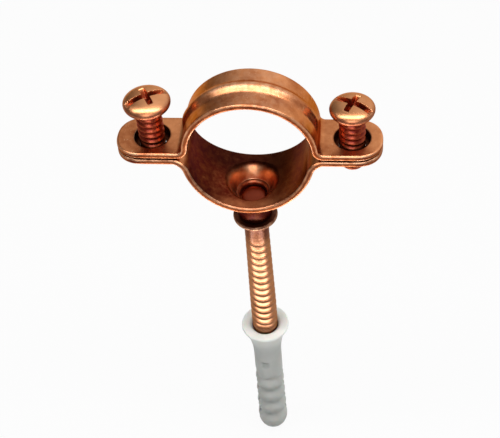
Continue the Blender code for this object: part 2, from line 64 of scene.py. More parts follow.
# %% [markdown]
# ## The camera
#
# The photograph looks down on the clamp at about 47 degrees, from a little to the right of the pipe's line,
# and it is rolled by about 5 degrees. A long lens seen from 23 cm away gives its mild perspective. We build
# the camera's three axes from those angles, which is easier to check than a rotation in Euler angles.

# %% Place the camera
AZIMUTH, ELEVATION, ROLL = np.radians([8.83, 47.18, 5.42])
CAMERA_DISTANCE = 232.66
AIM = np.array([-1.17, 0.0, 32.60])

ahead = np.array(
    [
        -math.sin(AZIMUTH) * math.cos(ELEVATION),
        math.cos(AZIMUTH) * math.cos(ELEVATION),
        -math.sin(ELEVATION),
    ]
)
level = np.array([math.cos(AZIMUTH), math.sin(AZIMUTH), 0.0])
upright = np.cross(level, ahead)
right = math.cos(ROLL) * level - math.sin(ROLL) * upright
up = math.sin(ROLL) * level + math.cos(ROLL) * upright
eye = (AIM - CAMERA_DISTANCE * ahead) * MM
axes = Matrix([right.tolist(), up.tolist(), (-ahead).tolist()]).transposed().to_4x4()

camera_data = bpy.data.cameras.new("camera")
camera_data.sensor_width = 36.0
camera_data.sensor_fit = "HORIZONTAL"
camera_data.lens = 86.4
camera_data.clip_start = 0.005
camera = bpy.data.objects.new("camera", camera_data)
camera.matrix_world = Matrix.Translation(Vector(eye.tolist())) @ axes
bpy.context.scene.collection.objects.link(camera)
bpy.context.scene.camera = camera
print("camera at", [round(1000 * v) for v in eye], "mm")

# %% [markdown]
# ## Helpers for surfaces
#
# Nearly every part here is a grid of points that closes round in one direction, like a tube. A ready-made
# cylinder could be bent and scaled into some of them, but on a grid every size stays a plain number, and
# all points are worked out at once. One helper turns such a grid into a mesh, and can close each end with a
# fan of triangles. A second helper cuts or joins two closed meshes with an exact Boolean, which is how the
# real holes are drilled too.


# %% Make a mesh from a grid
def tube_mesh(name, grid, start=None, end=None, sharp=40.0):
    """A mesh from a grid of shape (rows, columns, 3) in mm whose columns close round.

    Each cell becomes a quad from its four neighbouring points. start and end are the points that close the
    first and the last row with triangles.
    """
    rows, columns = grid.shape[:2]
    index = np.arange(rows * columns).reshape(rows, columns)
    after = np.roll(index, -1, axis=1)
    quads = np.stack([index[:-1], after[:-1], after[1:], index[1:]], axis=-1).reshape(-1, 4)
    points = grid.reshape(-1, 3)
    faces = quads.tolist()
    for row, pole in ((0, start), (-1, end)):
        if pole is not None:
            fan = np.stack([index[row], after[row], np.full(columns, len(points))], axis=-1)
            faces += fan.tolist()
            points = np.vstack([points, pole])
    mesh = bpy.data.meshes.new(name)
    mesh.from_pydata((points * MM).tolist(), [], faces)
    bm = bmesh.new()
    bm.from_mesh(mesh)
    bmesh.ops.remove_doubles(bm, verts=bm.verts, dist=2e-6)
    bmesh.ops.dissolve_degenerate(bm, edges=bm.edges, dist=1e-6)
    bmesh.ops.recalc_face_normals(bm, faces=bm.faces)
    bm.to_mesh(mesh)
    open_edges = sum(1 for edge in bm.edges if len(edge.link_faces) != 2)
    bm.free()
    mesh.shade_smooth()
    mesh.set_sharp_from_angle(angle=math.radians(sharp))
    made = bpy.data.objects.new(name, mesh)
    bpy.context.scene.collection.objects.link(made)
    print(f"{name}: {len(mesh.polygons)} faces, {open_edges} open edges")
    return made


# %% Cut or join closed meshes
def boolean(target, tool, operation, sharp=40.0):
    """Replaces the target's mesh by the exact Boolean of it and the tool, and removes the tool."""
    step = target.modifiers.new("boolean", "BOOLEAN")
    step.solver = "EXACT"
    step.operation = operation
    step.object = tool
    evaluated = target.evaluated_get(bpy.context.evaluated_depsgraph_get())
    result = bpy.data.meshes.new_from_object(evaluated)
    target.modifiers.clear()
    target.data = result
    bpy.data.objects.remove(tool, do_unlink=True)
    result.shade_smooth()
    result.set_sharp_from_angle(angle=math.radians(sharp))
    print(f"{target.name}: {operation.lower()}, {len(result.polygons)} faces")


# %% Turn a profile round an axis
def turned_grid(radii, heights, segments, x=0.0):
    """Points at the given radii and heights round a vertical axis at x: x + r cos t, r sin t, z."""
    t = np.linspace(0.0, 2 * np.pi, segments, endpoint=False)
    radii, heights = np.asarray(radii, float), np.asarray(heights, float)
    if radii.ndim == 1:
        radii, heights = radii[:, None], heights[:, None]
    shape = np.broadcast(radii, heights, t[None, :]).shape
    grid = np.empty(shape + (3,))
    grid[..., 0] = x + radii * np.cos(t)
    grid[..., 1] = radii * np.sin(t)
    grid[..., 2] = np.broadcast_to(heights, shape)
    return grid


def smooth_step(value):
    """0 below 0, 1 above 1, and 3v^2 - 2v^3 between them."""
    v = np.clip(value, 0.0, 1.0)
    return v * v * (3 - 2 * v)


def fade(value, start, length):
    """0 up to the start, 1 from the start plus the length on, and a smooth step between them."""
    return smooth_step((value - start) / length)


# %% [markdown]
# ## The two straps
#
# Each half of the ring is a strip of steel about 1.2 mm thick, bent over a former. It could be a long box
# with a bend and a bevel, but then the round tips of the ears would be hard to close. A strip is easier to
# describe: a path seen from the front, a half-width at each place on it, and a cross-section with rounded
# edges. At the ears the half-width shrinks to nothing along a rounded outline, and the edge rounding
# follows that outline, so the tips close by themselves.

# %% Sizes of the ring and the ears
SPLIT = 53.3
RING_RADIUS = 11.1
RING_RISE = 1.0
THICKNESS = 1.2
SEAT_GAP = 0.3
HALF_WIDTH = 5.0
SADDLE = 2.35
EDGE_ROUND = 0.44
EAR_TIP = 24.15
EAR_END = 5.0
EAR_SQUARENESS = 2.3
CAP_SHIFT = 0.5
HOLE_OFFSET = 18.15
UPPER_HOLE, LOWER_HOLE = 3.28, 2.46
print("inside of the ring:", 2 * RING_RADIUS, "mm; over the ears:", 2 * EAR_TIP, "mm")


# %% The round end of an ear
def ear_end(count=30):
    """The superellipse |X/a|^n + |Y/b|^n = 1: lengths, half-widths and outward directions from above."""
    n = EAR_SQUARENESS
    psi = np.linspace(0.0, np.pi / 2, count)
    x, y = EAR_END * np.cos(psi) ** (2 / n), HALF_WIDTH * np.sin(psi) ** (2 / n)
    out = np.stack([x ** (n - 1) / EAR_END**n, y ** (n - 1) / HALF_WIDTH**n])
    return x, y, out / np.linalg.norm(out, axis=0)


# %% The bends and the ring seen from the front
def ring_line(ring_height, bend):
    """The middle line from bend to bend over the ring: the bend's place, points, normals, ring angles.

    A bend is an arc of a circle that touches both the level ear and the ring.
    """
    half = THICKNESS / 2
    bend_height = SEAT_GAP / 2 + THICKNESS + bend
    bend_x = math.sqrt((RING_RADIUS + THICKNESS + bend) ** 2 - (bend_height - ring_height) ** 2)
    tangent = math.atan2(bend_height - ring_height, bend_x)
    turn = np.linspace(-np.pi / 2, -tangent, 16)[1:]
    around = np.linspace(np.pi / 2 - tangent, -(np.pi / 2 - tangent), 160)[1:-1]
    side = np.stack([-bend_x + (bend + half) * np.cos(turn), bend_height + (bend + half) * np.sin(turn)])
    side_normal = np.stack([-np.cos(turn), -np.sin(turn)])
    arc_normal = np.stack([-np.sin(around), np.cos(around)])
    arc = (RING_RADIUS + half) * arc_normal + np.array([[0.0], [ring_height]])
    mirror = np.array([[-1.0], [1.0]])
    line = np.hstack([side, arc, mirror * side[:, ::-1]])
    normal = np.hstack([side_normal, arc_normal, mirror * side_normal[:, ::-1]])
    side_angle = np.full(turn.size, 90.0)
    return bend_x, line, normal, np.concatenate([side_angle, np.abs(np.degrees(around)), side_angle])


# %% The path of a strap
def straight_up(count):
    """That many copies of the direction straight up, as an array of shape (2, count)."""
    return np.vstack([np.zeros(count), np.ones(count)])


def strap_path(ring_height, bend, shift, saddle=0.0):
    """Arrays along a strap from its left tip to its right one. Heights count from the split plane.

    The level part of each ear joins its round end to the bend. saddle widens the ring's part along a sine
    up to its middle.
    """
    end_x, end_y, out = ear_end()
    bend_x, ring, ring_normal, ring_angle = ring_line(ring_height, bend)
    level, start = 25, EAR_TIP - EAR_END
    left = np.linspace(start, bend_x - shift, level + 1)[1:]
    right_ear = np.linspace(bend_x + shift, start, level + 1)[:-1]
    x = np.concatenate([-(start + end_x), -left, ring[0] + shift, right_ear, (start + end_x)[::-1]])
    ears = end_x.size + level
    ear_height = np.full(ears, SEAT_GAP / 2 + THICKNESS / 2)
    height = np.concatenate([ear_height, ring[1], ear_height])
    normal = np.hstack([straight_up(ears), ring_normal, straight_up(ears)])
    flat = straight_up(ring.shape[1] + 2 * level)
    outline = np.hstack([out * [[-1.0], [1.0]], flat, out[:, ::-1]])
    lengths = np.concatenate([[0.0], np.cumsum(np.hypot(np.diff(ring[0]), np.diff(ring[1])))])
    widened = HALF_WIDTH + saddle * np.sin(np.pi * lengths / lengths[-1])
    plain = np.full(level, HALF_WIDTH)
    width = np.concatenate([end_y, plain, widened, plain, end_y[::-1]])
    angle = np.concatenate([np.full(ears, 90.0), ring_angle, np.full(ears, 90.0)])
    return x, height, normal, outline, width, angle


# %% The cross-section of a strap
def strap_section(across=64):
    """Arrays round the section: share of the width, inset from the outline, offset from the middle plane.

    The edges are quarter circles of radius EDGE_ROUND at the top and the bottom, with a short flat side
    between.
    """
    flat = np.linspace(-1.0, 1.0, across)
    phi = np.linspace(0.0, np.pi / 2, 6)[1:]
    inset = EDGE_ROUND * (1 - np.sin(phi))
    off = THICKNESS / 2 - EDGE_ROUND * (1 - np.cos(phi))
    share = np.concatenate([flat, np.ones(10), -flat, -np.ones(10)])
    edge_inset = np.concatenate([inset, inset[::-1]])
    edge_off = np.concatenate([off, -off[::-1]])
    level_inset = np.full(across, EDGE_ROUND)
    level_off = np.full(across, THICKNESS / 2)
    insets = np.concatenate([level_inset, edge_inset, level_inset, edge_inset])
    offs = np.concatenate([level_off, edge_off, -level_off, -edge_off])
    return share, insets, offs


# %% Loft a strap
def strap_grid(path, side, lift=None):
    """Every section point carried to every path point: along the path's normal by its offset plus the lift.

    side is 1 for the half above the split plane and -1 for the half below it.
    """
    x, height, normal, outline, width, angle = path
    share, inset, off = strap_section()
    y = share * np.maximum(width[:, None] - inset * outline[1][:, None], 0.0)
    raised = np.zeros_like(y) if lift is None else lift(y, angle[:, None])
    away = off + raised
    grid = np.empty(y.shape + (3,))
    grid[..., 0] = x[:, None] - inset * outline[0][:, None] + normal[0][:, None] * away
    grid[..., 1] = y
    grid[..., 2] = SPLIT + side * (height[:, None] + normal[1][:, None] * away)
    return grid


# %% [markdown]
# The ear holes of a real strap are punched and then tumbled smooth. A plain cylinder would cut them, but it
# would leave edges as sharp as a knife. Our tool's ends flare along a quarter circle, which leaves a small
# rounded lip round the hole that catches the light.


# %% Drill a hole with rounded lips
OVERCUT = 0.25


def drill(strap, x, low, high, radius, lip=0.16):
    """Cuts a hole whose lips are arcs of radius lip between the wall and the strap's faces. The tool goes
    on past the faces in a straight line, OVERCUT long."""
    phi = np.radians(np.linspace(0, 72, 7))
    wall = radius + lip * (1 - np.cos(phi))
    rise = lip * (1 - np.sin(phi))
    wall = np.append(wall, wall[-1] + OVERCUT * math.sin(phi[-1]))
    over = OVERCUT * math.cos(phi[-1]) - rise[-1]
    top = np.append(high - rise, high + over)
    bottom = np.append(low + rise, low - over)
    radii, heights = np.concatenate([wall[::-1], wall]), np.concatenate([top[::-1], bottom])
    tool = tube_mesh("drill", turned_grid(radii, heights, 96, x), [x, 0, heights[0]], [x, 0, heights[-1]])
    boolean(strap, tool, "DIFFERENCE")


# %% [markdown]
# ### The upper half and its bead
#
# A raised bead runs over the upper half to stiffen it. A second strip laid on top would look alike from
# above, but the real bead is pressed, so the inside of the strip follows it. We lift the middle of the
# strip by a cosine hump that dies away before the ears.

# %% Make the upper half
BEAD_WIDTH, BEAD_HEIGHT = 3.8, 0.8
BEAD_FULL, BEAD_END = 64.0, 85.0


def bead(y, angle):
    """BEAD_HEIGHT (1 + cos(2 pi y / width)) / 2 within the bead, times a fade between two ring angles."""
    share = smooth_step((BEAD_END - angle) / (BEAD_END - BEAD_FULL))
    hump = 0.5 + 0.5 * np.cos(2 * np.pi * np.clip(y / BEAD_WIDTH, -0.5, 0.5))
    return BEAD_HEIGHT * share * hump


upper = tube_mesh("upper_half", strap_grid(strap_path(RING_RISE, 1.0, CAP_SHIFT), 1, bead))
for sign in (-1, 1):
    low = SPLIT + SEAT_GAP / 2
    drill(upper, CAP_SHIFT + sign * HOLE_OFFSET, low, low + THICKNESS, UPPER_HOLE)

# %% [markdown]
# ### The lower half and its drawn boss
#
# The lower half widens towards its middle, where a punch has drawn the steel down into a trumpet. It could
# be sculpted from the strip, but a punch is round, and so is what it makes. We join a turned trumpet to the
# strip and take a turned funnel out of it. Both are draped: near the strip their rings follow the curved
# wall, and further down they are level.


# %% Rings that follow the curved wall
def draped_grid(radii, depths, follow, wall_radius, segments=128):
    """Rings round the Z axis on the ring's own cylinder. Each point's height is the wall's lowest height,
    plus follow times how far the wall has risen there, minus the depth."""
    grid = turned_grid(radii, depths, segments)
    rise = wall_radius - np.sqrt(wall_radius**2 - np.minimum(grid[..., 0] ** 2, 0.9 * wall_radius**2))
    base = SPLIT + RING_RISE - wall_radius
    grid[..., 2] = base + np.asarray(follow)[:, None] * rise - np.asarray(depths)[:, None]
    return grid


# %% Make the lower half and join its trumpet
BOSS_DEPTH, NECK, SHOULDER, ROOT = 7.1, 3.25, 6.8, 0.6

lower = tube_mesh("lower_half", strap_grid(strap_path(-RING_RISE, 2.0, 0.0, SADDLE), -1))
outside = RING_RADIUS + THICKNESS
base = SPLIT + RING_RISE - outside
depth = np.linspace(0.0, 1.0, 40) ** 1.8
share = (1 - np.sqrt(depth)) ** 1.4
trumpet = draped_grid(
    np.concatenate([[SHOULDER / 2, SHOULDER], NECK + share * (SHOULDER - NECK)]),
    np.concatenate([[-ROOT, -ROOT], depth * BOSS_DEPTH]),
    np.concatenate([[1, 1], fade(share, 0.15, 0.6)]),
    outside,
)
tool = tube_mesh("trumpet", trumpet, [0, 0, base + ROOT], [0, 0, base - BOSS_DEPTH])
boolean(lower, tool, "UNION")

# %% Take out the funnel, its ledge and its seat, and drill the ears
MOUTH, LEDGE, LEDGE_DEPTH, SEAT, SEAT_DEPTH, BORE = 5.3, 3.2, 2.6, 2.6, 4.4, 2.2
CUTTER, CUTTER_TOP, CUTTER_FOOT = 6.2, 3.0, 9.5

depth = np.linspace(0.0, 1.0, 40) ** 1.5
share = 1 - depth**0.7
ledge_r = [LEDGE - 0.05, LEDGE - 0.12, LEDGE - 0.20, SEAT + 0.32, SEAT + 0.02, SEAT, SEAT, BORE, BORE]
ledge_depth = LEDGE_DEPTH + np.array([0.05, 0.08, 0.09, 0.12, 0.46, 0.56])
bore_depth = [SEAT_DEPTH, SEAT_DEPTH, CUTTER_FOOT]
funnel = draped_grid(
    np.concatenate([[CUTTER, CUTTER], LEDGE + share * (MOUTH - LEDGE), ledge_r]),
    np.concatenate([[-CUTTER_TOP, -0.2], depth * LEDGE_DEPTH, ledge_depth, bore_depth]),
    np.concatenate([[0, 1], smooth_step(2 * share), np.zeros(len(ledge_r))]),
    RING_RADIUS,
)
floor_height = SPLIT + RING_RISE - RING_RADIUS
ends = [0, 0, floor_height + CUTTER_TOP], [0, 0, floor_height - CUTTER_FOOT]
boolean(lower, tube_mesh("funnel", funnel, *ends), "DIFFERENCE")
for sign in (-1, 1):
    high = SPLIT - SEAT_GAP / 2
    drill(lower, CAP_SHIFT + sign * HOLE_OFFSET, high - THICKNESS, high, LOWER_HOLE, lip=0.1)

# %% [markdown]
# ## The screws
#
# A rolled thread is a ridge that winds round a shank. It could be a profile swept along a helix, which then
# has to be joined to the shank. On a grid of angle and height it is one line of arithmetic instead: the
# radius depends on how far round and how far along a point is, counted in turns. Between two ridges lies a
# soft, rounded groove, because the thread is rolled and then plated.


# %% Thread as a radius on a grid
def thread_radius(angle, z, top, pitch, core, crest, width=0.16):
    """Radius of a right-handed thread: with u the fraction of (top - z) / pitch - angle / 2 pi, a groove
    shaped like exp(-((u - 0.17) / width)^2) is taken from the crest down to the core."""
    u = np.mod((top - z) / pitch - angle / (2 * np.pi), 1.0)
    away = np.abs(u - 0.17)
    away = np.minimum(away, 1.0 - away)
    groove = np.exp(-((away / width) ** 2))
    return crest - groove * (crest - core)


def shank_grid(z_top, z_low, rows, radius_of, segments, x=0.0):
    """A grid from z_top down to z_low whose radius is radius_of(angle, z)."""
    t = np.linspace(0.0, 2 * np.pi, segments, endpoint=False)[None, :]
    z = np.linspace(z_top, z_low, rows)[:, None]
    radii = radius_of(t, z) * np.ones((rows, segments))
    return turned_grid(radii, z * np.ones((rows, segments)), segments, x)


# %% [markdown]
# ### The mounting screw
#
# From the top it is a riveted end, a spigot through the boss, a round flange, a plain neck and a coarse
# thread that grows over its first turns and runs out to a point inside the plug. We describe it as one
# surface from the rivet's dome to the point, as a lathe and a thread roller would make it from one rod.

# %% Sizes of the mounting screw
CLEARANCE = 0.3
FLANGE_THICKNESS, SCREW_LENGTH, PLAIN_NECK, GROWTH = 0.9, 51.0, 4.0, 22.0
FLANGE_TOP = floor_height - THICKNESS - BOSS_DEPTH - CLEARANCE
FLANGE_FOOT = FLANGE_TOP - FLANGE_THICKNESS
FLANGE, SCREW_NECK, THREAD_CREST, PITCH = 4.3, 2.4, 2.7, 1.9
RIVET, SPIGOT = 2.3, 1.9
TIP = FLANGE_FOOT - SCREW_LENGTH
THREAD_TOP = FLANGE_FOOT - PLAIN_NECK - 0.25 * PITCH
print("flange top at", round(FLANGE_TOP, 2), "mm, point at", round(TIP, 2), "mm")


# %% Make the mounting screw
def wood_thread(angle, z):
    """The crest grows from the neck's radius over GROWTH, and the groove deepens from 0.10 to 0.24 mm. The
    screw tapers to its point below the plug's mouth."""
    down = np.clip((THREAD_TOP - z) / GROWTH, 0.0, 1.0)
    crest = SCREW_NECK + down * (THREAD_CREST - SCREW_NECK)
    deep = np.clip((THREAD_TOP - z) / (0.5 * PITCH), 0, 1) * (0.10 + 0.14 * down)
    taper = np.clip((z - TIP) / (0.3 - TIP), 0.0, 1.0)
    full = thread_radius(angle, z, THREAD_TOP, PITCH, crest - deep, crest)
    return 0.2 + (full - 0.2) * taper


rivet_foot = floor_height - SEAT_DEPTH + CLEARANCE
phi = np.linspace(0.05, np.pi / 2, 8)
dome_r, dome_z = RIVET * np.sin(phi), rivet_foot + 0.3 + 0.3 * np.cos(phi)
rim = np.linspace(0, np.pi, 12)
rim_r = FLANGE - 0.3 + 0.3 * np.sin(rim)
rim_z = FLANGE_TOP + FLANGE_THICKNESS / 2 * (np.cos(rim) - 1)
spigot_r, spigot_z = [RIVET, SPIGOT, SPIGOT, 3.0], [rivet_foot, rivet_foot, FLANGE_TOP, FLANGE_TOP]
neck_r, neck_z = SCREW_NECK + np.array([0.25, 0.06, 0.0]), FLANGE_FOOT - np.array([0.0, 0.06, 0.3])
head_r = np.concatenate([dome_r, spigot_r, rim_r, neck_r])
head_z = np.concatenate([dome_z, spigot_z, rim_z, neck_z])
shank = shank_grid(THREAD_TOP + 0.6, TIP, 760, wood_thread, 112)
grid = np.concatenate([turned_grid(head_r, head_z, 112), shank])
screw = tube_mesh("mounting_screw_turned", grid, [0, 0, rivet_foot + 0.6], [0, 0, TIP], sharp=50)

# %% [markdown]
# ### The ear screws
#
# Each head is a dome with a slot and a cross recess. A Boolean could cut them, but it leaves lips as sharp
# as a knife. The real recess is pressed straight down into the dome, so a point inside it only loses
# height. We spread the step between dome and recess over a tenth of a millimetre, which gives soft,
# slightly burred lips.


# %% The pressed recess and the dome
SLOT_DEPTH, CROSS_DEPTH = 1.1, 1.9
EAR_PITCH, EAR_CORE, EAR_RIDGE, EAR_LENGTH = 1.25, 2.02, 0.43, 12.8
HEAD_HEIGHT, SKIRT = 0.56, 0.30


def recess(x, y, turn):
    """How far the slot and the cross are pressed in, from 0 to 1, at points given from the head's centre.
    The slot runs right across, and the cross fades out along its arms."""
    u, v = x * math.cos(turn) + y * math.sin(turn), -x * math.sin(turn) + y * math.cos(turn)
    slot = 1 - fade(np.abs(v), 0.48, 0.14)
    arm = np.minimum(np.abs(u), np.abs(v))
    along = np.maximum(np.abs(u), np.abs(v))
    return slot, (1 - fade(arm, 0.42, 0.14)) * (1 - fade(along, 1.0, 1.5))


def head_profile(head_radius):
    """Radii and heights of a head, and its full height h = HEAD_HEIGHT R.

    The dome is r = R sin(a)^0.92 and z = h (SKIRT + (1 - SKIRT) cos(a)^1.15). Under it come a rounded skirt
    and a small fillet down to the thread.
    """
    height = HEAD_HEIGHT * head_radius
    a = np.linspace(0.0, 1.0, 90)[1:] * np.pi / 2
    round_off = np.linspace(0, np.pi / 2, 10)[1:]
    dome_r = head_radius * np.sin(a) ** 0.92
    dome_z = height * (SKIRT + (1 - SKIRT) * np.cos(a) ** 1.15)
    skirt_r = head_radius * (0.90 + 0.10 * np.cos(round_off))
    skirt_z = height * SKIRT * (1 - np.sin(round_off))
    r = np.concatenate([dome_r, skirt_r, [2.5, 2.2, 2.12]])
    return r, np.concatenate([dome_z, skirt_z, [0.0, -0.05, -0.2]]), height


# %% Make the ear screws
LEFT_EAR = (CAP_SHIFT - HOLE_OFFSET, 4.3, 8.7)
RIGHT_EAR = (CAP_SHIFT + HOLE_OFFSET, 4.05, 7.6)


def ear_screw(name, x, head_radius, rise, turn):
    """The head with its recess pressed in, and the thread under it, rise above the split plane."""
    under = SPLIT + rise
    r, z, height = head_profile(head_radius)
    head = turned_grid(r, z, 256)
    pressed = recess(head[..., 0], head[..., 1], turn)
    for share, depth in zip(pressed, (SLOT_DEPTH, CROSS_DEPTH)):
        head[..., 2] += share * np.minimum(height - depth - head[..., 2], 0.0)
    head += [x, 0.0, under]
    thread_top, tip = under - 0.3, under - EAR_LENGTH

    def radius_of(angle, z):
        grown = np.clip((thread_top - z) / EAR_PITCH, 0, 1) * np.clip((z - tip) / 1.6, 0.0, 1.0)
        full = thread_radius(angle, z, thread_top, EAR_PITCH, EAR_CORE, EAR_CORE + EAR_RIDGE * grown, 0.33)
        return full - 0.6 * np.clip((tip + 0.5 - z) / 0.5, 0.0, 1.0)

    grid = np.concatenate([head, shank_grid(thread_top, tip, 210, radius_of, 256, x)])
    return tube_mesh(name, grid, [x, 0, head[0, :, 2].mean()], [x, 0, tip], sharp=55)


left_screw = ear_screw("left_ear_screw_turned", *LEFT_EAR, math.radians(30))
right_screw = ear_screw("right_ear_screw_turned", *RIGHT_EAR, math.radians(-28))

# %% [markdown]
# ## The wall plug
#
# The plug is moulded nylon: a flared rim, a smooth waist and four rings of barbs. The barbs on its two
# halves are staggered, and a thin slot runs between the halves. Rings could be joined on and a slot cut
# out, but a moulding has no sharp joints. On a grid of angle and height each of those is a soft term that
# is added to the radius.

# %% Sizes of the wall plug
PLUG_RADIUS, RIM, RIM_THICK, FLARE_END, PLUG_END = 3.0, 5.0, 0.7, 9.5, 38.0
FIRST_BARB, BARB_PITCH, BARBS, STAGGER = 18.8, 4.65, 4, 0.8
SLOT_ANGLE, SLOT_START, SLOT_STOP = math.radians(16.0), 13.0, 34.5
DENT_ANGLE, DENT_DEPTH = -1.72, 11.9
PLUG_BORE, PLUG_BORE_END = 2.78, 18.0
print("plug:", BARBS, "barbs from", FIRST_BARB, "mm, every", BARB_PITCH, "mm")


# %% The terms of the plug's radius
def far_half(angle):
    """1 on one half of the plug and 0 on the other: (1 - tanh(sin(angle from the slot) / 0.03)) / 2."""
    return 0.5 - 0.5 * np.tanh(np.sin(angle - SLOT_ANGLE) / 0.03)


def barb_turns(angle, depth):
    """How many barb pitches a depth lies past the first barb, deeper by STAGGER on the far half."""
    return (depth - FIRST_BARB - STAGGER * far_half(angle)) / BARB_PITCH


def dent_share(angle, depth):
    """exp(-(angle from the dent / 0.3)^4 - (depth from the dent / 1.1)^4), a flat spot with soft edges."""
    around = np.mod(angle - DENT_ANGLE + np.pi, 2 * np.pi) - np.pi
    return np.exp(-((around / 0.3) ** 4) - ((depth - DENT_DEPTH) / 1.1) ** 4)


def plug_radius(angle, depth):
    """Waist radius, plus the flare under the rim, plus cosine barbs, minus the slot and a moulded dent."""
    flare = 1.6 * np.clip(1 - (depth - RIM_THICK) / (FLARE_END - RIM_THICK), 0, 1) ** 1.9
    turn = barb_turns(angle, depth)
    inside = fade(turn, -0.8, 0.3) * (turn < BARBS - 1)
    wave = 0.5 + 0.5 * np.cos(2 * np.pi * turn)
    grown = 0.12 + 0.06 * np.clip(turn, 0, 3)
    body = PLUG_RADIUS + flare + inside * (-0.22 + wave * (0.22 + grown))
    last = FIRST_BARB + (BARBS - 1) * BARB_PITCH + STAGGER * far_half(angle)
    body = np.where(turn >= BARBS - 1, PLUG_RADIUS + 0.30, body)
    ball = np.clip((depth - last - 0.3) / (PLUG_END - last - 0.3), 0, 1)
    body = body * np.sqrt(np.clip(1 - ball**2.3, 0, 1))
    groove = np.exp(-((np.sin(angle - SLOT_ANGLE) * body / 0.13) ** 2))
    open_part = fade(depth, SLOT_START, 0.4) * (1 - fade(depth, SLOT_STOP, 0.5))
    return body - 0.9 * groove * open_part - 0.32 * dent_share(angle, depth)


# %% Make the wall plug
ROUND = 224
t = np.linspace(0.0, 2 * np.pi, ROUND, endpoint=False)[None, :]
depth = np.linspace(RIM_THICK, PLUG_END - 1.0, 380)
depth = np.concatenate([depth, PLUG_END - np.geomspace(1.0, 0.01, 16)[1:]])[:, None]
outer = turned_grid(plug_radius(t, depth), -depth * np.ones((1, ROUND)), ROUND)
throat = np.linspace(0, 1, 14)
mouth_r = PLUG_BORE + 0.6 * (1 - throat) ** 1.6
mouth_z = -0.6 * throat
phi = np.linspace(0, np.pi, 10)
rim_r, rim_z = RIM - 0.28 + 0.28 * np.sin(phi), -RIM_THICK / 2 + RIM_THICK / 2 * np.cos(phi)
inner_r = np.concatenate([[0.5, 1.6, 2.98, PLUG_BORE], mouth_r[::-1], rim_r])
inner_z = np.concatenate([[-PLUG_BORE_END, -12.0, -2.5, -1.4], mouth_z[::-1], rim_z])
grid = np.concatenate([turned_grid(inner_r, inner_z, ROUND), outer])
ends = [0, 0, -PLUG_BORE_END - 0.2], [0, 0, -PLUG_END]
plug = tube_mesh("wall_plug_moulded", grid, *ends, sharp=60)

# %% [markdown]
# ## Finishes
#
# Copper plate on steel wears bright where hands and tools rub it, at its rounded edges. Beside that wear,
# the colour carries painted light and shade: a deep red brown painted shade inside the ring, between the
# ears, in the holes and recesses and round the boss, and painted highlights on the funnel's lips and wall
# and on the ring's crown. We work out for every point its share of dullness and shade, of wear and
# highlight, of dark shade and of red, from its place and its normal, and keep those numbers on the mesh as
# attributes. The material only has to read them.


# %% Numbers for every point
def points_of(piece):
    """Places in mm and normals of all points, as two arrays of shape (points, 3)."""
    count = len(piece.data.vertices)
    places, normals = np.empty(3 * count), np.empty(3 * count)
    piece.data.vertices.foreach_get("co", places)
    piece.data.vertex_normals.foreach_get("vector", normals)
    return places.reshape(-1, 3) / MM, normals.reshape(-1, 3)


def keep(piece, **layers):
    """Stores each array as a float attribute of the mesh's points, clipped between 0 and 1."""
    for name, values in layers.items():
        layer = piece.data.attributes.new(name, "FLOAT", "POINT")
        layer.data.foreach_set("value", np.clip(values, 0.0, 1.0).astype(np.float32))
    print(piece.name, {name: round(float(np.mean(values)), 3) for name, values in layers.items()})
